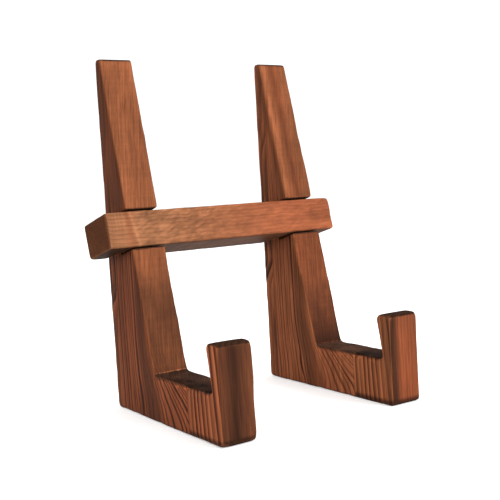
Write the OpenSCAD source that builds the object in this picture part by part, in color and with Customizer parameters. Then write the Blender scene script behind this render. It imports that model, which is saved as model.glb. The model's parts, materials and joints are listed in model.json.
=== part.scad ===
// Knock-down easel for a table top: two J-shaped uprights held apart by one crossbar.
// Each upright is three boards glued edge to edge: a narrow back strip, the stile and the toe block.
// The crossbar lies flush in the sloped fronts. Crossbar and uprights meet in cross-halving joints:
// a notch in the front half of each upright takes the front half of the bar, and a slot in the back
// half of the bar takes the back half of the upright. They pull apart square to the sloped front.
// +X is to the right, +Y to the back and +Z up. The origin is on the table, under the middle of the easel.

/* [Boards] */
// Thickness of the boards that the uprights are sawn from
board_t = 28; // [24:1:32]
// Width of the back strip, the narrow board down the back edge
back_strip_w = 13.5; // [10:0.5:15]
// Width of the toe block, the board with the upturned tip
toe_block_w = 42.5; // [36:0.5:50]

/* [Uprights] */
// Height of an upright
upright_h = 267; // [250:1:290]
// Depth of the top end
top_d = 8; // [6:0.5:12]
// Depth of the foot, from the back edge to the toe
foot_d = 155.7; // [145:0.1:175]
// Angle of the sloped front, back from the vertical
front_lean = 14.3; // [13:0.1:16]
// Distance between the middles of the uprights
spread = 144.8; // [110:0.1:200]

/* [Ledge] */
// Height of the ledge above the table
ledge_h = 34.5; // [28:0.5:42]
// Height of the upturned tip above the table
tip_h = 67; // [58:1:76]
// Thickness of the tip where it leaves the ledge
tip_t = 9.8; // [8:0.1:12]
// Angle at which the tip's inner face leans back over the ledge
tip_lean = 10; // [4:1:12]

/* [Crossbar] */
// Height of the bar's middle above the table, on the sloped front
bar_z = 139; // [120:1:155]
// Height of the bar's section, along the slope
bar_h = 27.6; // [24:0.1:30]
// Depth of the bar's section, square to the slope
bar_d = 42; // [38:1:44]
// Length of bar that stands out past the outer face of each upright
bar_overhang = 16.8; // [8:0.1:30]

/* [Fit and edges] */
// Gap above and below the bar in a notch
notch_gap = 0.6; // [0.3:0.1:1]
// Gap on each side of an upright in a slot
slot_gap = 0.4; // [0.3:0.1:1]
// Gap behind the bar where it bottoms in a notch
seat_gap = 0.2; // [0.1:0.1:0.5]
// Radius of the eased edges
edge_r = 2; // [1:0.5:3]
// Radius of the tip's top corners
tip_r = 4; // [2:0.5:5]

/* [Hidden] */
$fn = 64;

bar_len = spread + board_t + 2 * bar_overhang;
slot_d = bar_d / 2;
// How far the bar's eased upper back edge stands out behind the uprights
bar_proud = (bar_d - edge_r) * cos(front_lean) + (bar_h / 2 - edge_r) * sin(front_lean) + edge_r
          - top_d - (upright_h - bar_z) * tan(front_lean);
// The easel's box runs from the toes to the bar's back edge, and its middle is at Y = 0
back_y = (foot_d - bar_proud) / 2;
toe_y = back_y - foot_d;
strip_y = back_y - back_strip_w;
toe_glue_y = toe_y + toe_block_w;
tip_top_t = tip_t + (tip_h - ledge_h) * tan(tip_lean);
far = 400;

back_wood = "#6b2f1c";
stile_wood = "#7d4526";
toe_wood = "#63331d";
bar_wood = "#b9774c";

// Y of the sloped front at height z
function front_y(z) = back_y - top_d - (upright_h - z) * tan(front_lean);

function unit(v) = v / norm(v);

// What rounds the corner p, whose sides run towards a and b, to radius r
module corner_cutter(p, a, b, r) {
    u = unit(a - p);
    v = unit(b - p);
    half = acos(u * v) / 2;
    centre = p + unit(u + v) * r / sin(half);
    difference() {
        polygon([p - (u + v), p + u * r / tan(half), centre, p + v * r / tan(half)]);
        translate(centre) circle(r);
    }
}

// Side view of an upright: Y across, Z up
module upright_outline() {
    heel = [back_y, 0];
    top_back = [back_y, upright_h];
    top_front = [back_y - top_d, upright_h];
    throat = [front_y(ledge_h), ledge_h];
    ledge_end = [toe_y + tip_t, ledge_h];
    tip_back = [toe_y + tip_top_t, tip_h];
    tip_front = [toe_y, tip_h];
    toe = [toe_y, 0];
    difference() {
        polygon([heel, top_back, top_front, throat, ledge_end, tip_back, tip_front, toe]);
        corner_cutter(heel, top_back, toe, edge_r);
        corner_cutter(top_back, top_front, heel, edge_r);
        corner_cutter(top_front, throat, top_back, edge_r);
        corner_cutter(tip_back, tip_front, ledge_end, tip_r);
        corner_cutter(tip_front, toe, tip_back, tip_r);
        corner_cutter(toe, heel, tip_front, edge_r);
    }
}

// Rectangle w by h about the origin, with its corners rounded to edge_r
module eased_rectangle(w, h) {
    square([w - 2 * edge_r, h], center = true);
    square([w, h - 2 * edge_r], center = true);
    for (x = [-1, 1], y = [-1, 1])
        translate([x * (w / 2 - edge_r), y * (h / 2 - edge_r)]) circle(edge_r);
}

// Puts children in the bar's own frame: Y = 0 is the sloped front, Z runs up the slope
module on_slope() {
    translate([0, front_y(bar_z), bar_z]) rotate([-front_lean, 0, 0]) children();
}

// Notch for the bar, cut into the front of an upright
module notch() {
    notch_h = bar_h + 2 * notch_gap;
    on_slope()
        translate([-far / 2, -far, -notch_h / 2]) cube([far, far + slot_d + seat_gap, notch_h]);
}

// One upright before it is told apart into boards, in the plane X = 0
module upright() {
    difference() {
        rotate([90, 0, 90]) linear_extrude(board_t, center = true) upright_outline();
        notch();
    }
}

// The board of an upright that lies between two glue lines; side is -1 for left and 1 for right
module board(side, y_front, y_back) {
    translate([side * spread / 2, 0, 0]) intersection() {
        upright();
        translate([-far / 2, y_front, -1]) cube([far, y_back - y_front, far]);
    }
}

module back_strip(side) color(back_wood) board(side, strip_y, back_y + 1);
module stile(side) color(stile_wood) board(side, toe_glue_y, strip_y);
module toe_block(side) color(toe_wood) board(side, toe_y - 1, toe_glue_y);

module left_back_strip() back_strip(-1);
module left_stile() stile(-1);
module left_toe_block() toe_block(-1);
module right_back_strip() back_strip(1);
module right_stile() stile(1);
module right_toe_block() toe_block(1);

module crossbar() {
    slot_w = board_t + 2 * slot_gap;
    color(bar_wood) on_slope() difference() {
        translate([0, bar_d / 2, 0]) rotate([90, 0, 90])
            linear_extrude(bar_len, center = true) eased_rectangle(bar_d, bar_h);
        for (side = [-1, 1])
            translate([side * spread / 2 - slot_w / 2, slot_d, -bar_h])
                cube([slot_w, bar_d, 2 * bar_h]);
    }
}

left_back_strip();
left_stile();
left_toe_block();
right_back_strip();
right_stile();
right_toe_block();
crossbar();
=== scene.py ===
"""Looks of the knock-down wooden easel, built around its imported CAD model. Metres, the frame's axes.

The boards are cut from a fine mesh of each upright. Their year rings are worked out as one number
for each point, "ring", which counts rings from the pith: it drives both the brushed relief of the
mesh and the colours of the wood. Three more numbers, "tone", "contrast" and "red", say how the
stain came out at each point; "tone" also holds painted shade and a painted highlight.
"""
import json
from functools import partial
from math import asin, pi, radians

import bmesh
import bpy
import numpy as np
from mathutils import Matrix, Vector


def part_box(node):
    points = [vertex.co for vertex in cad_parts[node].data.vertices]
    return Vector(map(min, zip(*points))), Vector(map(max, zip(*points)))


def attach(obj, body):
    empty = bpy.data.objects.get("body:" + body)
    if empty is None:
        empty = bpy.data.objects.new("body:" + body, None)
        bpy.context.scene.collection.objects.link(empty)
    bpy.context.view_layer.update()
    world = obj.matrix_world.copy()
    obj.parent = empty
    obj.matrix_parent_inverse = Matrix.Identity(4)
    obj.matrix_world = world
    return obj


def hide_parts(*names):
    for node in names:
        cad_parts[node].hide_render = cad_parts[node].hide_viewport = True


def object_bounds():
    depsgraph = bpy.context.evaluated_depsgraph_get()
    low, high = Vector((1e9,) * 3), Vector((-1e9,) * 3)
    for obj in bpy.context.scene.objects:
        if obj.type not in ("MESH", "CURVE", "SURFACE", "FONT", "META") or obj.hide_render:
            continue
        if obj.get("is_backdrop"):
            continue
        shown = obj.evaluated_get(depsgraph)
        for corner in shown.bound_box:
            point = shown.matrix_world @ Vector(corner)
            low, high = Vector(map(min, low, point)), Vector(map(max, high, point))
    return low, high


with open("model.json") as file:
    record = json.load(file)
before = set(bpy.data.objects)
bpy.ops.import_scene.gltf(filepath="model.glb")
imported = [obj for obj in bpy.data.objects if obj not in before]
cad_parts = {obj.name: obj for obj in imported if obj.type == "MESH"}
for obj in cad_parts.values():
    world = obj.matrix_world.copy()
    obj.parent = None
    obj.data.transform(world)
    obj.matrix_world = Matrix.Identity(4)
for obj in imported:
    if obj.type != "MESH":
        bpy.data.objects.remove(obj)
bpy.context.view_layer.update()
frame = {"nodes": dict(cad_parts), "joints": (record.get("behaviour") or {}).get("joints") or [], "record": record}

MM = 0.001

# ---------------------------------------------------------------- places, from the frame

SIDES = ("left", "right")
STRIP_Y, BACK_Y = (corner.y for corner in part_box("left_back_strip"))
TOE_Y, TOE_GLUE_Y = (corner.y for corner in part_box("left_toe_block"))
MIDDLE_X = {side: sum(corner.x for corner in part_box(side + "_stile")) / 2 for side in SIDES}
HALF_T = (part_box("left_stile")[1].x - MIDDLE_X["left"]) / MM      # half a board's thickness, in mm
MOUNTS = {mount["name"]: mount for mount in frame["record"]["mounts"]}
LEDGE_H = MOUNTS["left_ledge"]["pos_m"][2] / MM                   # height of the ledges, in mm

# The crossbar comes out square to the sloped fronts
JOINTS = {joint["name"]: joint for joint in frame["joints"]}
FRONT_N = np.array(Vector(JOINTS["crossbar_slide"]["axis"]).normalized())
UP_SLOPE = np.cross(FRONT_N, (1, 0, 0))

bar_points = np.array([vertex.co for vertex in frame["nodes"]["crossbar"].data.vertices])
bar_rise = bar_points @ UP_SLOPE
FRONT_D = (bar_points @ FRONT_N).max()                            # how far out the sloped fronts lie
BAR_MIDDLE = (bar_rise.max() + bar_rise.min()) / 2                # how far up the slope the bar lies
BAR_HALF = (bar_rise.max() - bar_rise.min()) / 2 / MM             # half its height, in mm
BAR_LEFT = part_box("crossbar")[0].x


def from_middle(p, side):
    """X across an upright, and Y from its toe, in mm."""
    return (p[:, 0] - MIDDLE_X[side]) / MM, (p[:, 1] - TOE_Y) / MM


def behind_front(p):
    """Distance in mm behind the sloped fronts, square to them."""
    return (FRONT_D - p @ FRONT_N) / MM


def above_middle(p):
    """Distance in mm up the slope from the crossbar's middle."""
    return (p @ UP_SLOPE - BAR_MIDDLE) / MM


# ---------------------------------------------------------------- numbers on points


def hash3(ix, iy, iz, seed):
    """A random number from 0 to 1 for each whole-numbered point."""
    mixed = (ix * 374761393 + iy * 668265263 + iz * 2147483647 + seed * 1274126177) & 0xFFFFFFFF
    mixed = ((mixed ^ (mixed >> 13)) * 1274126177) & 0xFFFFFFFF
    mixed = ((mixed ^ (mixed >> 16)) * 2246822519) & 0xFFFFFFFF
    return ((mixed ^ (mixed >> 15)) & 0xFFFFFF) / float(0xFFFFFF)


def noise(points, size, seed):
    """Smooth noise from -1 to 1. Size is how far apart its random values are, along x, y and z in mm."""
    p = points / (np.array(size, float) * MM)
    cell = np.floor(p).astype(np.int64)
    fraction = p - cell
    fraction = fraction * fraction * (3 - 2 * fraction)
    total = np.zeros(len(p))
    for corner in np.ndindex(2, 2, 2):
        weight = np.ones(len(p))
        for i in range(3):
            weight *= fraction[:, i] if corner[i] else 1 - fraction[:, i]
        total += weight * hash3(*(cell[:, i] + corner[i] for i in range(3)), seed)
    return 2 * total - 1


def smoothstep(low, high, x):
    """0 at low and beyond it, 1 at high and beyond it, and smooth between. Either may be the larger."""
    t = np.clip((x - low) / (high - low), 0, 1)
    return t * t * (3 - 2 * t)


def hump(x, middle, width):
    """1 at the middle, falling to nothing on both sides."""
    return np.exp(-((x - middle) / width) ** 2)


# ---------------------------------------------------------------- year rings
# Each function takes points in the easel's frame and gives the number of rings from the pith.

# The stile's dense dark band: its Y in mm high up, and how much further forward it is at the foot
BAND_Y = 30
BAND_SWEEP = 9

# Flames up each back strip: middle height and reach in mm, and how many rings they cross
STRIP_FLAMES = {"left": ((82, 16, 1.5), (190, 30, 1.2), (244, 14, 1.2)),
                "right": ((92, 14, 1.6), (200, 22, 1.6))}

# Each toe block's pith, by its X from the middle and its distance in front of the toe, and how far
# apart its rings are, all in mm
TOE_PITH = {"left": (22, 20, 3.81), "right": (4, 17, 4.3)}

# The crossbar's pith, behind and below it, and how far apart its rings are, in mm
BAR_PITH = (58, 46, 1.9)


def stile_spread(p):
    """How far in front of its dark band a point of a stile is, in mm, and how far the rings fan out."""
    y = p[:, 1] / MM + 1.3 * noise(p, (50, 60, 70), 11) + 0.4 * noise(p, (20, 14, 40), 12)
    z = p[:, 2] / MM
    sweep = BAND_SWEEP * smoothstep(70, 0, z) * (1 - smoothstep(15, 60, y))
    return BAND_Y - y - sweep, 1 + 3.0 * smoothstep(54, -4, z)


def stile_rings(p, side):
    """Fine straight rings at the back; in front of the dark band they fan out forward to the foot."""
    x, _ = from_middle(p, side)
    forward, fan = stile_spread(p)
    spacing = np.where(forward > 0, 1.7 + 1.5 * fan, 3.5)
    ring = -forward / spacing - 0.45 * (x + HALF_T)
    # Good years and bad ones
    ring = ring + 0.2 * np.sin(1.7 * ring) + 0.1 * np.sin(3.9 * ring + 2)
    ring = ring + 0.14 * (fan - 1) * noise(p, (60, 22, 18), 16)
    return ring + 0.12 * noise(p, (9, 9, 34), 13) + 0.3 * noise(p, (30, 30, 90), 14)


def toe_rings(p, side):
    """Broad rings round a pith in front of the toe, which leans with the tip."""
    pith_x, pith_y, spacing = TOE_PITH[side]
    x, y = from_middle(p, side)
    lean = 0.11 * (p[:, 2] / MM - 35) * np.clip(1 - y / 44, 0, 1)
    radius = np.hypot(x - pith_x, y - lean + pith_y)
    return (radius + 0.9 * noise(p, (16, 16, 60), 21) + 0.4 * noise(p, (6, 6, 26), 22)) / spacing


def strip_rings(p, side):
    """A flat-sawn board: broad dark flames that slant to the back edge going down."""
    x, _ = from_middle(p, side)
    y = (BACK_Y - p[:, 1]) / MM
    z = p[:, 2] / MM + 2.5 * noise(p, (12, 9, 40), 33)
    ring = y / 8.5 - x / 4.5
    for middle, reach, lift in STRIP_FLAMES[side]:
        ring = ring - lift * smoothstep(middle - reach, middle + reach, z)
    return ring + 0.35 * noise(p, (10, 6, 34), 31) + 0.12 * noise(p, (4, 3, 14), 32)


def upright_rings(p, side):
    """The rings of whichever board a point is in."""
    in_front = np.where(p[:, 1] > TOE_GLUE_Y, stile_rings(p, side), toe_rings(p, side))
    return np.where(p[:, 1] > STRIP_Y, strip_rings(p, side), in_front)


def bar_rings(p):
    """Fine rings along the bar, bent into small waves on its face."""
    pith_back, pith_down, spacing = BAR_PITH
    wavy = smoothstep(18, 34, (p[:, 0] - BAR_LEFT) / MM)
    wave = 0.4 * noise(p, (70, 40, 40), 43)
    wave = wave + wavy * (1.0 * noise(p, (26, 30, 30), 41) + 0.4 * noise(p, (8, 9, 9), 42))
    return np.hypot(behind_front(p) - pith_back, above_middle(p) + pith_down + wave) / spacing


def late_wood(ring):
    """1 on a ring's dark line, 0 on the soft wood between."""
    phase = ring - np.floor(ring)
    return smoothstep(0.35, 0.86, phase) * (1 - smoothstep(0.93, 1.0, phase))


# ---------------------------------------------------------------- the uprights' stain, with painted shade and a painted highlight
# Tone is how light the stain came out, with painted shade and highlight in it, 1 being the middle. Red is how
# warm: 0 is tan and 1 red.
# Contrast is how plainly the rings show.

# What differs between the two uprights, as factors and as parts taken off
STAIN = {
    "left": {"side": 0.78, "toe_side": 0.95, "dark_band": 0.5, "upper_side": 0.42, "side_red": 0.35,
             "plain_toe_front": 0.72, "plain_upper": 0.7},
    "right": {"side": 1.12, "toe_side": 0.9, "dark_band": 0.42, "upper_side": 0.14, "side_red": 0.1,
              "plain_toe_front": 0.9, "plain_upper": 0.4},
}

# Tone down the sloped front of each upright: height in mm and tone
FRONT_TONE = {
    "left": ((36, 0.60), (58, 0.52), (88, 0.54), (108, 0.80), (165, 1.02), (210, 0.82), (262, 1.0)),
    "right": ((36, 0.19), (56, 0.44), (82, 0.78), (125, 0.60), (165, 0.92), (215, 0.84), (262, 0.88)),
}

# Stains on the back strips' sides: height and distance from the back edge in mm, reach up and
# across in mm, how much lighter or darker, and how far they slant
STRIP_STAINS = {
    "left": ((117, 3, 4, 4, -0.5, 0.3), (107, 3.5, 5, 3, 0.4, 0), (93, 5, 8, 3, -0.6, 0.35),
             (78, 3, 7, 2.5, 0.35, 0), (48, 6, 22, 3, -0.4, 0), (225, 2, 35, 2.5, -0.35, 0),
             (165, 9, 16, 3, -0.25, 0)),
    "right": ((119, 6, 4, 5, -0.35, 0), (105, 4, 7, 4, 0.45, 0), (91, 4.5, 8, 3, -0.6, 0.4),
              (74, 5, 10, 4, 0.4, 0.1), (42, 10, 18, 3, -0.5, 0), (212, 5, 12, 2.5, -0.45, -0.1),
              (165, 9, 18, 3, -0.35, 0), (238, 6, 8, 3, -0.3, 0.2)),
}


class UprightSkin:
    """Points on an upright: where they are, in mm, and which board and face they are on."""

    def __init__(self, p, n, side):
        self.p = p
        self.side = side
        self.x, self.y = from_middle(p, side)
        self.z = p[:, 2] / MM
        self.in_strip = p[:, 1] > STRIP_Y
        self.in_toe = p[:, 1] < TOE_GLUE_Y
        self.in_stile = ~self.in_strip & ~self.in_toe
        self.on_side = smoothstep(0.6, 0.9, np.abs(n[:, 0]))
        self.on_front = smoothstep(0.75, 0.95, n @ FRONT_N) * ~self.in_toe
        self.on_toe_front = smoothstep(0.7, 0.95, -n[:, 1]) * (self.y < 1)
        self.on_ledge = smoothstep(0.7, 0.9, n[:, 2]) * (self.z < LEDGE_H + 3)
        # Over the crossbar, from softly to sharply
        self.over_bar = smoothstep(148, 160, self.z)
        self.well_over_bar = smoothstep(150, 156, self.z)
        # The dense dark band between the stile's fine rings and its broad ones
        self.forward, fan = stile_spread(p)
        self.ahead = self.forward / fan ** 0.5
        self.band = smoothstep(-6, 1, self.forward) * (1 - smoothstep(6, 12, self.ahead))


def strip_stain(skin):
    """The stains on the side of a back strip."""
    y = (BACK_Y - skin.p[:, 1]) / MM + noise(skin.p, (5, 5, 9), 75)
    z = skin.z + 2 * noise(skin.p, (6, 6, 9), 76)
    stain = np.ones(len(skin.p))
    for height, depth, up, across, amount, slant in STRIP_STAINS[skin.side]:
        stain = stain + amount * hump(z, height, up) * hump(y - slant * (z - height), depth, across)
    return stain


def painted_shade_under_bar(skin):
    """Painted shade on the sides along the crossbar's lower face, just under it."""
    under = -above_middle(skin.p) - BAR_HALF
    return 1 - 0.5 * np.exp(-np.maximum(0, under) / 5) * (under > 0) * skin.on_side


def arris_chips(skin):
    """1 where chips are broken off the right upright's front arris, under the bar."""
    if skin.side == "left":
        return 0
    place = smoothstep(88, 96, skin.z) * (1 - smoothstep(120, 124, skin.z)) * ~skin.in_toe
    close = hump(skin.x, -13.4, 1.4) * hump(behind_front(skin.p), 0.6, 1.6)
    return place * close * smoothstep(-0.7, 0.1, noise(skin.p, (3, 3, 3), 72))


def side_tone(skin):
    """Tone of an upright's two flat sides."""
    stain = STAIN[skin.side]
    pale_front = 0.22 * smoothstep(9, 14, skin.ahead)
    tone = np.where(skin.in_stile, 1 - stain["dark_band"] * skin.band + pale_front, 1)
    tone = tone * np.where(skin.in_toe, stain["toe_side"], stain["side"])
    # Darker over the bar, and painted shade just under it
    tone = tone * (1 - stain["upper_side"] * skin.over_bar) * painted_shade_under_bar(skin)
    tone = tone * np.where(skin.in_strip, 1 + skin.on_side * (strip_stain(skin) - 1), 1)
    if skin.side == "right":
        # A dark line down behind the upper arris, and a dark margin at the toe
        tone = tone * (1 - 0.35 * skin.well_over_bar * hump(behind_front(skin.p), 4, 3))
        tone = tone * (1 - 0.5 * skin.in_toe * skin.on_side * hump(skin.y, 2, 4))
    return tone * (1 + 1.3 * arris_chips(skin))


def front_tone(skin):
    """Tone of an upright's sloped front."""
    heights, tones = zip(*FRONT_TONE[skin.side])
    # Blotches, most of all low down, and faint marks of the saw across the face
    low_down = 1 - smoothstep(100, 150, skin.z)
    blotches = (0.06 + 0.08 * low_down) * noise(skin.p, (12, 12, 15), 78)
    spots = (0.04 + 0.04 * low_down) * noise(skin.p, (4, 4, 5), 79)
    saw_marks = 0.06 * noise(skin.p, (16, 16, 1.3), 80)
    tone = np.interp(skin.z, heights, tones) * (1 + blotches + spots + saw_marks)
    # A painted highlight: a pale line in the corner between front and ledge
    tone = tone * (1 + 1.3 * (skin.z < LEDGE_H + 1.3))
    if skin.side == "right":
        # A pale streak and two dark ones down the upper part
        streaks = 0.35 * hump(skin.x, -10, 2.2) - 0.36 * hump(skin.x, -1, 3.2)
        tone = tone * (1 + skin.well_over_bar * (streaks - 0.15 * hump(skin.x, 10, 4)))
    return tone * (1 + 2.4 * arris_chips(skin))


def toe_front_tone(skin):
    """Tone of a toe block's upright front, in broad stripes."""
    if skin.side == "left":
        return 0.31 - 0.18 * hump(skin.x, -2, 4.8) + 0.08 * hump(skin.x, 9.5, 3.5)
    return 0.62 - 0.44 * (1 - smoothstep(-10.5, -3.5, skin.x)) + 0.05 * noise(skin.p, (9, 9, 30), 73)


def ledge_wear(skin):
    """The ledge is patchy, and its long arrises are chipped and dirty."""
    arris = hump(skin.z, LEDGE_H - 0.6, 1.5) * skin.on_side * (skin.y > 12) * (skin.y < 86)
    dirt = 1 - 0.7 * arris * smoothstep(-0.2, 0.3, noise(skin.p, (3, 2.4, 3), 89))
    below = hump(skin.z, LEDGE_H - 2.9, 0.9) * skin.on_side * hump(skin.y, 46, 22)
    splinters = 1 + 0.9 * below * smoothstep(-0.1, 0.3, noise(skin.p, (3, 2.6, 2), 92))
    patches = 0.55 * noise(skin.p, (6, 9, 6), 77) + 0.25 * noise(skin.p, (2, 2, 2), 85)
    return dirt * splinters * (1 + skin.on_ledge * patches)


def painted_foot_shade(skin):
    """Painted shade along the foot's lower arris, darkest at the toe."""
    toe = 1 - 0.75 * (1 - smoothstep(2.5, 6.0, skin.z)) * skin.in_toe
    return toe * (1 - 0.35 * (1 - smoothstep(0.5, 3.0, skin.z)) * ~skin.in_toe)


def upright_tone(skin):
    """Tone of all of an upright, face by face."""
    sides = side_tone(skin)
    tone = sides + skin.on_front * (front_tone(skin) - sides)
    tone = tone * (1 + skin.on_toe_front * (toe_front_tone(skin) - 1))
    # The foot's lower arris gets painted shade
    return tone * (1 + 0.06 * noise(skin.p, (30, 30, 60), 71)) * ledge_wear(skin) * painted_foot_shade(skin)


def upright_contrast(skin):
    """The rings show less on the smooth fronts, in the dark band and up the ends."""
    stain = STAIN[skin.side]
    contrast = 1 - skin.on_front * np.where(skin.in_strip, 0.92, 0.8)
    contrast = contrast * (1 - stain["plain_toe_front"] * skin.on_toe_front)
    contrast = contrast * (1 - stain["plain_upper"] * skin.over_bar)
    contrast = contrast * (1 - 0.5 * skin.in_stile * skin.band)
    contrast = contrast * np.where(skin.in_strip, 0.85, 1)
    if skin.side == "right":
        contrast = contrast * np.where(skin.in_toe, 0.85, 1)
        contrast = contrast * (1 - 0.35 * skin.in_stile * smoothstep(2, 10, np.abs(skin.forward)))
    return contrast


def upright_red(skin):
    """Redder on the left upright's sides, the right one's sloped front and both toe fronts."""
    red = 0.15 * noise(skin.p, (25, 25, 40), 74) + STAIN[skin.side]["side_red"] * skin.on_side
    if skin.side == "left":
        return red + 0.3 * skin.on_toe_front
    upper = smoothstep(110, 150, skin.z)
    red = red + skin.on_front * (0.35 - 0.35 * upper * (1 - hump(skin.x, -1, 5)))
    return red + skin.on_toe_front * (0.3 + 0.4 * smoothstep(-12, -4, skin.x))


def upright_dents(skin):
    """Metres that the ledge's long arrises are chipped away, most of all round the glue line."""
    worst = hump(skin.p[:, 1], TOE_GLUE_Y + 2 * MM, 12 * MM) * (0.7 + 0.5 * noise(skin.p, (4, 3, 4), 91))
    ledge = 1.7 * worst * smoothstep(9.5, 14, np.abs(skin.x)) * hump(skin.z, LEDGE_H, 3.2)
    return (ledge + 0.7 * arris_chips(skin)) * MM


# ---------------------------------------------------------------- the crossbar's stain, with painted shade underneath

# The ridge on the bar's face: how far from its left end, at its middle line, and how it leans
RIDGE_X = 21
RIDGE_LEAN = -0.12


class BarSkin:
    """Points on the crossbar: distance from its left end and up the slope from its middle, in mm."""

    def __init__(self, p, n):
        self.p = p
        self.x = (p[:, 0] - BAR_LEFT) / MM
        self.rise = above_middle(p)
        self.on_underside = smoothstep(0.6, 0.9, -n[:, 2])


def bar_curl(skin):
    """Short wavy flecks, between the saw marks at the left end and the plainer right half."""
    place = smoothstep(20, 24, skin.x) * (1 - 0.65 * smoothstep(80, 120, skin.x))
    rise = skin.rise + 1.6 * noise(skin.p, (8, 9, 13), 90) - 0.25 * skin.x
    wavy = np.stack([skin.x, 0 * skin.x, rise], 1) * MM
    return place * (0.2 * noise(wavy, (5, 9, 1.7), 86) + 0.14 * noise(wavy, (2.4, 9, 1.1), 87))


def bar_ridge(skin):
    """A pale line with a dark one on its left, across the bar's face in the left upright's notch."""
    ridge = RIDGE_X + RIDGE_LEAN * skin.rise + 0.8 * noise(skin.p, (40, 40, 6), 81)
    return 0.24 * hump(skin.x, ridge + 1.3, 1.2) - 0.18 * hump(skin.x, ridge - 2.0, 2.0)


def bar_tone(skin):
    """Lively on the face, and dark underneath with painted shade, most of all near the left end."""
    tone = 0.96 - 0.13 * hump(skin.x, 60, 40) - 0.07 * hump(skin.x, 36, 14)
    tone = tone - 0.12 * smoothstep(120, 190, skin.x)
    tone = tone + 0.08 * noise(skin.p, (22, 16, 9), 82) + 0.11 * noise(skin.p, (7, 9, 5), 83)
    dark_spots = np.maximum(0, noise(skin.p, (16, 16, 8), 84) - 0.3) * smoothstep(60, 90, skin.x)
    saw_marks = (1 - smoothstep(18, 21, skin.x)) * noise(skin.p, (1.3, 9, 18), 88)
    pale_band = hump(skin.rise, -9, 4) * smoothstep(30, 60, skin.x)
    tone = tone - 0.22 * dark_spots + 0.12 * saw_marks + 0.1 * pale_band
    tone = tone + bar_curl(skin) + bar_ridge(skin)
    # Painted shade on the underside, deepest near the left end
    return tone * (1 - 0.64 * skin.on_underside * (1 + 0.35 * (1 - smoothstep(14, 22, skin.x))))


def bar_contrast(skin):
    """The rings show faintly, and most at the left end."""
    return 0.45 - 0.15 * smoothstep(20, 24, skin.x)


def bar_red(skin):
    """Tan at the left end, except along the ridge, and red at the right one."""
    ridge = 0.35 * hump(skin.x, 18, 3)
    # Less red in the painted shade underneath
    return (ridge + 0.8 * smoothstep(30, 170, skin.x)) * (1 - 0.7 * skin.on_underside)


def bar_dents(skin):
    """The crossbar has none."""
    return 0


# ---------------------------------------------------------------- meshes

VOXEL = 0.7 * MM          # size of the small faces
CRISP_STEPS = 5           # rounds of smoothing on the sharpest arris
WORN_STEPS = 34           # and how many more on the most worn
WORN_AT = 0.9 * MM        # how much wood is gone where an arris is rubbed pale
RELIEF = 0.2 * MM         # how deep the soft wood is brushed out
WAVINESS = 0.12 * MM      # how deep the faces wander


def fine_mesh(nodes):
    """One closed mesh of small even faces round CAD nodes that touch face to face."""
    copies = []
    for name in nodes:
        copy = bpy.data.objects.new("copy_" + name, frame["nodes"][name].data.copy())
        bpy.context.scene.collection.objects.link(copy)
        weld = copy.modifiers.new("weld", "WELD")
        weld.merge_threshold = 1e-6
        copies.append(copy)
    for other in copies[1:]:
        union = copies[0].modifiers.new("union", "BOOLEAN")
        union.operation = "UNION"
        union.solver = "EXACT"
        union.object = other
    remesh = copies[0].modifiers.new("faces", "REMESH")
    remesh.mode = "VOXEL"
    remesh.voxel_size = VOXEL
    bpy.context.view_layer.update()
    depsgraph = bpy.context.evaluated_depsgraph_get()
    mesh = bpy.data.meshes.new_from_object(copies[0].evaluated_get(depsgraph))
    for copy in copies:
        bpy.data.objects.remove(copy)
    return mesh


def read(mesh, what):
    """The vertices' places, "co", or their normals, "normal", one in each row."""
    values = np.empty(len(mesh.vertices) * 3)
    mesh.vertices.foreach_get(what, values)
    return values.reshape(-1, 3)


def move_to(mesh, places):
    mesh.vertices.foreach_set("co", places.ravel())
    mesh.update()


def write(mesh, name, values):
    """Keeps one number for each vertex, for the material to read."""
    layer = mesh.attributes.get(name) or mesh.attributes.new(name, "FLOAT", "POINT")
    layer.data.foreach_set("value", values.astype(np.float32))


def smoothed(points, edges, steps):
    """Each vertex moves to the middle of its neighbours, steps times over."""
    a, b = edges[:, 0], edges[:, 1]
    count = np.bincount(a, minlength=len(points)) + np.bincount(b, minlength=len(points))
    for _ in range(steps):
        sums = [np.bincount(a, points[b, i], len(points)) + np.bincount(b, points[a, i], len(points))
                for i in range(3)]
        points = np.stack(sums, 1) / count[:, None]
    return points


def inward(points, moved, n):
    """What part of a move goes into the wood: the part out of it is left out."""
    step = moved - points
    return points + step * (np.sum(step * n, 1) < 0)[:, None]


def ease_arrises(mesh, seed):
    """Rounds the arrises, more in some places than in others. Returns how far each vertex moved."""
    points, n = read(mesh, "co"), read(mesh, "normal")
    edges = np.empty(len(mesh.edges) * 2, np.int64)
    mesh.edges.foreach_get("vertices", edges)
    edges = edges.reshape(-1, 2)
    crisp = inward(points, smoothed(points, edges, CRISP_STEPS), n)
    worn = inward(points, smoothed(crisp, edges, WORN_STEPS), n)
    wear = 0.42 + 0.34 * noise(points, (26, 26, 34), seed) + 0.24 * noise(points, (7, 7, 9), seed + 1)
    eased = crisp + (worn - crisp) * np.clip(wear, 0.08, 1)[:, None]
    move_to(mesh, eased)
    return np.linalg.norm(eased - points, axis=1)


def ring_spacing(rings, p, n):
    """How far apart the rings lie on the surface, in mm."""
    gap = 0.3
    here = rings(p)
    slope = np.stack([(rings(p + gap * MM * np.eye(3)[i]) - here) / gap for i in range(3)], 1)
    slope = slope - n * np.sum(slope * n, 1)[:, None]
    return 1 / np.maximum(np.linalg.norm(slope, axis=1), 0.02)


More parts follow.
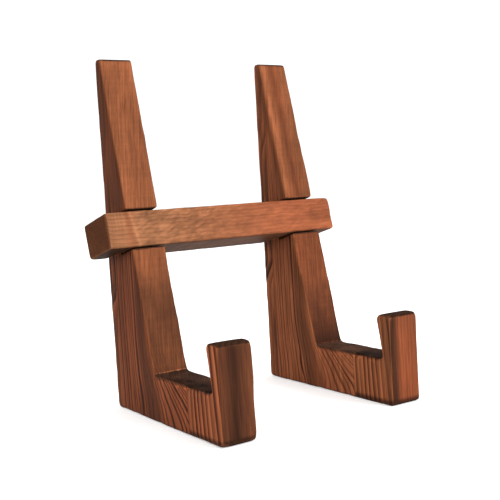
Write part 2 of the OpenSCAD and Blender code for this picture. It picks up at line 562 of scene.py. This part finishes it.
def weather(mesh, rings, skin_of, looks, dents, along, seed):
    """Wears the arrises, sinks the soft wood between the rings and writes down the numbers for the stain and the
    painted shade.
    """
    sharp = read(mesh, "co")
    rounding = ease_arrises(mesh, seed)
    points, n = read(mesh, "co"), read(mesh, "normal")
    end = np.abs(n @ np.array(along))
    gaps = ring_spacing(rings, points, n)
    eased = skin_of(points, n)
    # Across end grain, and where the rings are close, the relief is only slight
    soft = (1 - late_wood(rings(points))) * (1 - 0.8 * smoothstep(0.4, 0.9, end))
    depth = RELIEF * smoothstep(1.6, 4.5, gaps) * soft * looks["contrast"](eased)
    depth = depth + WAVINESS * (0.5 + 0.5 * noise(points, (16, 16, 40), seed + 2))
    points = points - n * (depth + dents(eased))[:, None]
    move_to(mesh, points)
    write(mesh, "worn", np.clip(rounding / WORN_AT, 0, 1))
    # The ledge's end grain has a ragged edge
    ragged = 0.25 * noise(sharp, (1.6, 1.6, 1.6), seed + 3) * hump(sharp[:, 2] / MM, LEDGE_H, 5)
    write(mesh, "end", smoothstep(0.3, 0.8, end + ragged))
    brushed = skin_of(points, n)
    write(mesh, "tone", looks["tone"](brushed))
    write(mesh, "red", looks["red"](brushed))
    # Rings that are too close together for the small faces fade away
    write(mesh, "contrast", looks["contrast"](brushed) * smoothstep(0.2, 2.4, gaps))


def cut_board(mesh, low, high, name):
    """The part of a closed mesh between two planes across Y, closed again."""
    bm = bmesh.new()
    bm.from_mesh(mesh)
    for y, keep in ((low, 1), (high, -1)):
        if y is None:
            continue
        everything = bm.verts[:] + bm.edges[:] + bm.faces[:]
        cut = bmesh.ops.bisect_plane(bm, geom=everything, dist=1e-7, plane_co=(0, y, 0),
                                     plane_no=(0, keep, 0), clear_inner=True)
        rim = [e for e in cut["geom_cut"] if isinstance(e, bmesh.types.BMEdge)]
        filled = bmesh.ops.triangle_fill(bm, edges=rim, use_beauty=True)
        for edge in rim:
            edge.smooth = False
        for face in filled["geom"]:
            if isinstance(face, bmesh.types.BMFace):
                face.smooth = False
    bmesh.ops.recalc_face_normals(bm, faces=bm.faces[:])
    board = bpy.data.meshes.new(name)
    bm.to_mesh(board)
    bm.free()
    return board


def finished(mesh, node, body, rings, slot):
    """A piece of the easel: its ring numbers, its material and the node that it stands for."""
    write(mesh, "ring", rings(read(mesh, "co")))
    mesh.materials.clear()
    mesh.materials.append(WOODS[slot])
    piece = bpy.data.objects.new(node + "_board", mesh)
    bpy.context.scene.collection.objects.link(piece)
    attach(piece, body)
    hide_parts(node)


# ---------------------------------------------------------------- materials


class Nodes:
    """A material's node tree, with short calls for the nodes that the wood needs."""

    def __init__(self, name):
        self.material = bpy.data.materials.new(name)
        self.material.use_nodes = True
        self.tree = self.material.node_tree
        self.shader = self.tree.nodes["Principled BSDF"]

    def put(self, socket, value):
        """Links a socket to another one, or sets it to a constant."""
        if isinstance(value, bpy.types.NodeSocket):
            self.tree.links.new(value, socket)
        elif value is not None:
            socket.default_value = value

    def add(self, kind, values=(), **settings):
        """A new node with values on its sockets and its settings made."""
        node = self.tree.nodes.new("ShaderNode" + kind)
        for key, value in settings.items():
            setattr(node, key, value)
        for key, value in dict(values).items():
            self.put(node.inputs[key], value)
        return node

    def math(self, operation, a, b=None, c=None, clamp=False):
        """One operation on up to three numbers or sockets."""
        node = self.add("Math", operation=operation, use_clamp=clamp)
        for socket, value in zip(node.inputs, (a, b, c)):
            self.put(socket, value)
        return node.outputs[0]

    def swing(self, noise_value, amount, middle, clamp=False):
        """The middle, more or less an amount of a noise whose own middle is 0.5."""
        centred = self.math("SUBTRACT", noise_value, 0.5)
        return self.math("MULTIPLY_ADD", centred, amount, middle, clamp)

    def number(self, name):
        """A number that write() kept on the mesh."""
        return self.add("Attribute", attribute_name=name).outputs["Fac"]

    def step(self, value, low, high, start=0.0, stop=1.0):
        """Goes smoothly from start to stop as the value goes from low to high."""
        node = self.add("MapRange", interpolation_type="SMOOTHSTEP",
                        values={"Value": value, "From Min": low, "From Max": high,
                                "To Min": start, "To Max": stop})
        return node.outputs["Result"]

    def mix(self, amount, a, b, blend="MIX"):
        """Two colours mixed. Sockets 6 and 7 are where a colour mix takes them."""
        node = self.add("Mix", data_type="RGBA", blend_type=blend)
        self.put(node.inputs["Factor"], amount)
        self.put(node.inputs[6], a)
        self.put(node.inputs[7], b)
        return node.outputs[2]

    def stretched_noise(self, size, detail=2.0, rough=0.5, seed=0.0, turn=(0, 0, 0)):
        """Noise whose grains are size mm along x, y and z, turned by three angles."""
        place = self.add("TexCoord").outputs["Object"]
        scale = self.add("Mapping", {"Vector": place, "Location": (seed, seed * 0.7, seed * 1.3),
                                     "Rotation": turn, "Scale": [s * MM for s in size]},
                         vector_type="TEXTURE")
        node = self.add("TexNoise", {"Vector": scale.outputs[0], "Scale": 1.0, "Detail": detail,
                                     "Roughness": rough})
        return node.outputs["Fac"]


# The uprights' boards were sawn with the rings at a slant to their faces; the bar leans with the fronts
RIFT_TURN = (0, 0, radians(-33))
SLOPE_TURN = (-asin(FRONT_N[2]), 0, 0)

# Colours that the wood's own is multiplied by or mixed with
REDDER = (1.0, 0.64, 0.58, 1.0)
GREY_BROWN = (0.10, 0.08, 0.07, 1.0)


def wood(name, along, early, late, end, worn, line_width=0.5, strength=1.0,
         fibres=(0.8, 6.0, 14.0), streaks=(1.3, 14.0, 60.0), mottle=1.0, seed=0.0):
    """Stained, brushed softwood. Early and late are the colours between and on a ring's line; fibres
    and streaks are the sizes of the grain's marks across it, into the board and along it, in mm."""
    early, late, end, worn = (tuple(colour) + (1.0,) for colour in (early, late, end, worn))
    nodes = Nodes(name)
    ring, tone = nodes.number("ring"), nodes.number("tone")
    phase = nodes.math("FRACT", ring)

    def grains(across, deep, length, detail, rough, offset):
        size, turn = (across, deep, length), RIFT_TURN
        if along == "x":
            size, turn = (length, deep, across), SLOPE_TURN
        return nodes.stretched_noise(size, detail, rough, seed + offset, turn)

    fibre = grains(*fibres, 3.0, 0.7, 0)
    streak = grains(*streaks, 4.0, 0.65, 3)
    cloud = grains(13.0, 13.0, 55.0, 2.0, 0.5, 7)

    # A ring's colour deepens slowly to its line and breaks off sharply after it. Some years' lines
    # are darker than others'
    rise = nodes.step(phase, 1 - line_width - 0.2, 0.9)
    line = nodes.math("MULTIPLY", rise, nodes.step(phase, 0.93, 1.0, 1.0, 0.0))
    year = nodes.math("ADD", nodes.math("FLOOR", ring), seed)
    chance = nodes.add("TexWhiteNoise", {"W": year}, noise_dimensions="1D").outputs["Value"]
    amount = nodes.math("MULTIPLY_ADD", chance, 0.8, 0.5 * strength)
    line = nodes.math("MULTIPLY", line, nodes.math("MULTIPLY", amount, nodes.number("contrast")))
    line = nodes.swing(fibre, 0.6, line, clamp=True)
    colour = nodes.mix(line, early, late)

    # Stain that took more or less in streaks and clouds
    shade = nodes.swing(streak, 1.5 * mottle, 1.0)
    shade = nodes.swing(fibre, 1.3 * mottle, shade)
    shade = nodes.math("MULTIPLY", shade, nodes.step(cloud, 0.3, 0.7, 0.86, 1.12))
    # The tone from the mesh brings its painted shade and highlight in here too
    shade = nodes.math("MAXIMUM", nodes.math("MULTIPLY", shade, tone), 0.1)
    colour = nodes.mix(1.0, colour, shade, "MULTIPLY")
    colour = nodes.mix(nodes.number("red"), colour, nodes.mix(1.0, colour, REDDER, "MULTIPLY"))
    # Where the colour is dark, from stain or painted shade, it is greyer too
    colour = nodes.mix(nodes.step(shade, 0.3, 0.9, 0.05, 0.0), colour, GREY_BROWN)

    # End grain drinks the stain; an arris is rubbed paler
    grain = nodes.swing(fibre, 1.2, nodes.step(phase, 0.1, 0.85, 1.2, 0.8))
    grain = nodes.math("MULTIPLY", grain, nodes.math("MAXIMUM", tone, 0.3))
    soak = nodes.step(nodes.number("end"), 0.0, 0.8)
    colour = nodes.mix(soak, colour, nodes.mix(1.0, end, grain, "MULTIPLY"))
    rub = nodes.step(nodes.math("MULTIPLY_ADD", fibre, 0.5, nodes.number("worn")), 0.75, 1.3, 0.0, 0.2)
    nodes.put(nodes.shader.inputs["Base Color"], nodes.mix(rub, colour, worn))

    # Next to no shine, so that no pale haze shows on faces seen at a glancing angle
    rough = nodes.math("MULTIPLY_ADD", fibre, 0.22, 0.46)
    rough = nodes.math("MULTIPLY_ADD", line, -0.12, rough)
    rough = nodes.math("MULTIPLY_ADD", nodes.number("end"), 0.25, rough, clamp=True)
    nodes.put(nodes.shader.inputs["Roughness"], rough)
    nodes.put(nodes.shader.inputs["Specular IOR Level"], 0.015)

    height = nodes.math("MULTIPLY_ADD", fibre, 0.35, nodes.math("MULTIPLY", line, 0.5))
    height = nodes.math("MULTIPLY_ADD", streak, 0.5, height)
    bump = nodes.add("Bump", {"Height": height, "Strength": 0.5 * mottle, "Distance": 0.3 * MM})
    nodes.put(nodes.shader.inputs["Normal"], bump.outputs[0])
    return nodes.material


# ---------------------------------------------------------------- the easel

WOODS = {
    "stile_wood": wood(
        "stained_stile", "z", early=(0.205, 0.067, 0.028), late=(0.042, 0.013, 0.006),
        end=(0.040, 0.018, 0.011), worn=(0.30, 0.105, 0.045), line_width=0.35, strength=1.6, seed=1.0),
    "back_strip_wood": wood(
        "stained_back_strip", "z", early=(0.205, 0.067, 0.028), late=(0.045, 0.015, 0.007),
        end=(0.040, 0.018, 0.011), worn=(0.27, 0.095, 0.04), line_width=0.75, strength=1.3, seed=1.0),
    "toe_block_wood": wood(
        "stained_toe_block", "z", early=(0.30, 0.104, 0.043), late=(0.060, 0.018, 0.008),
        end=(0.032, 0.014, 0.008), worn=(0.28, 0.095, 0.04), line_width=0.8, strength=1.25, seed=21.0),
    "crossbar_wood": wood(
        "oiled_crossbar", "x", early=(0.270, 0.112, 0.052), late=(0.105, 0.040, 0.018),
        end=(0.075, 0.026, 0.012), worn=(0.33, 0.14, 0.07), fibres=(0.7, 3.0, 4.0),
        streaks=(0.9, 5.0, 11.0), mottle=0.6, seed=31.0),
}
UPRIGHT_LOOKS = {"tone": upright_tone, "contrast": upright_contrast, "red": upright_red}
BAR_LOOKS = {"tone": bar_tone, "contrast": bar_contrast, "red": bar_red}
BOARDS = (("back_strip", strip_rings, STRIP_Y, None),
          ("stile", stile_rings, TOE_GLUE_Y, STRIP_Y),
          ("toe_block", toe_rings, None, TOE_GLUE_Y))
WEAR_SEEDS = {"left": 101, "right": 201, "crossbar": 301}

for side in SIDES:
    mesh = fine_mesh([side + "_" + board[0] for board in BOARDS])
    weather(mesh, partial(upright_rings, side=side), partial(UprightSkin, side=side), UPRIGHT_LOOKS,
            upright_dents, along=(0, 0, 1), seed=WEAR_SEEDS[side])
    for board, rings, low, high in BOARDS:
        node = side + "_" + board
        finished(cut_board(mesh, low, high, node + "_board"), node, side + "_upright",
                 partial(rings, side=side), board + "_wood")
    bpy.data.meshes.remove(mesh)

mesh = fine_mesh(["crossbar"])
weather(mesh, bar_rings, BarSkin, BAR_LOOKS, bar_dents, along=(1, 0, 0), seed=WEAR_SEEDS["crossbar"])
finished(mesh, "crossbar", "crossbar", bar_rings, "crossbar_wood")

# ---------------------------------------------------------------- camera, light and floor

# The camera looks at a point in the middle of the easel, from in front on the left and a little above
AIM = Vector((-4.1, 1.3, 117.3)) * MM
HEADING, DIP, ROLL = radians(33.16), radians(4.19), radians(-3.33)
DISTANCE = 658.1 * MM
LENS = 63.2

turn = (Matrix.Rotation(-HEADING, 3, "Z") @ Matrix.Rotation(pi / 2 - DIP, 3, "X")
        @ Matrix.Rotation(ROLL, 3, "Z"))
camera = bpy.data.objects.new("camera", bpy.data.cameras.new("camera"))
camera.data.lens = LENS
camera.data.clip_start = 10 * MM
camera.matrix_world = Matrix.Translation(AIM + turn @ Vector((0, 0, DISTANCE))) @ turn.to_4x4()
bpy.context.scene.collection.objects.link(camera)
bpy.context.scene.camera = camera
bpy.context.scene.view_settings.view_transform = "Standard"

# A large soft light in front on the right, in a white room
KEY_PLACE = Vector((0.75, -1.25, 0.9))
KEY_AIM = Vector((0, 0, 0.13))
KEY_SIZE = 0.8
KEY_POWER = 22.0
ROOM_LIGHT = 1.15

key = bpy.data.objects.new("key", bpy.data.lights.new("key", "AREA"))
key.data.shape = "SQUARE"
key.data.size = KEY_SIZE
key.data.energy = KEY_POWER
key.location = KEY_PLACE
key.rotation_euler = (KEY_PLACE - KEY_AIM).to_track_quat("Z", "Y").to_euler()
bpy.context.scene.collection.objects.link(key)

world = bpy.data.worlds.new("studio")
bpy.context.scene.world = world
world.use_nodes = True
world.node_tree.nodes["Background"].inputs["Color"].default_value = (1, 1, 1, 1)
world.node_tree.nodes["Background"].inputs["Strength"].default_value = ROOM_LIGHT

# A round of pale paper that runs out of sight, and glows a little so that it stays near white
FLOOR_RADIUS = 4.0
PAPER_GLOW = 0.35


def screen_grey(red, green, blue):
    """A pale grey from its 0 to 255 numbers on a screen."""
    return tuple(((c / 255 + 0.055) / 1.055) ** 2.4 for c in (red, green, blue)) + (1.0,)


PAPER_DARK = screen_grey(240, 240, 239)
PAPER_PALE = screen_grey(246, 246, 245)

floor_mesh = bpy.data.meshes.new("floor")
bm = bmesh.new()
bmesh.ops.create_circle(bm, cap_ends=True, segments=96, radius=FLOOR_RADIUS)
bm.to_mesh(floor_mesh)
bm.free()
floor = bpy.data.objects.new("floor", floor_mesh)
bpy.context.scene.collection.objects.link(floor)
paper = Nodes("pale_floor")
paper_grain = paper.stretched_noise((3.0, 3.0, 3.0))
paper.put(paper.shader.inputs["Base Color"], paper.mix(paper_grain, PAPER_DARK, PAPER_PALE))
paper.put(paper.shader.inputs["Roughness"], 0.9)
paper.put(paper.shader.inputs["Specular IOR Level"], 0.1)
paper.put(paper.shader.inputs["Emission Color"], (1, 1, 1, 1))
paper.put(paper.shader.inputs["Emission Strength"], PAPER_GLOW)
floor_mesh.materials.append(paper.material)
floor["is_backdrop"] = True

low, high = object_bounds()
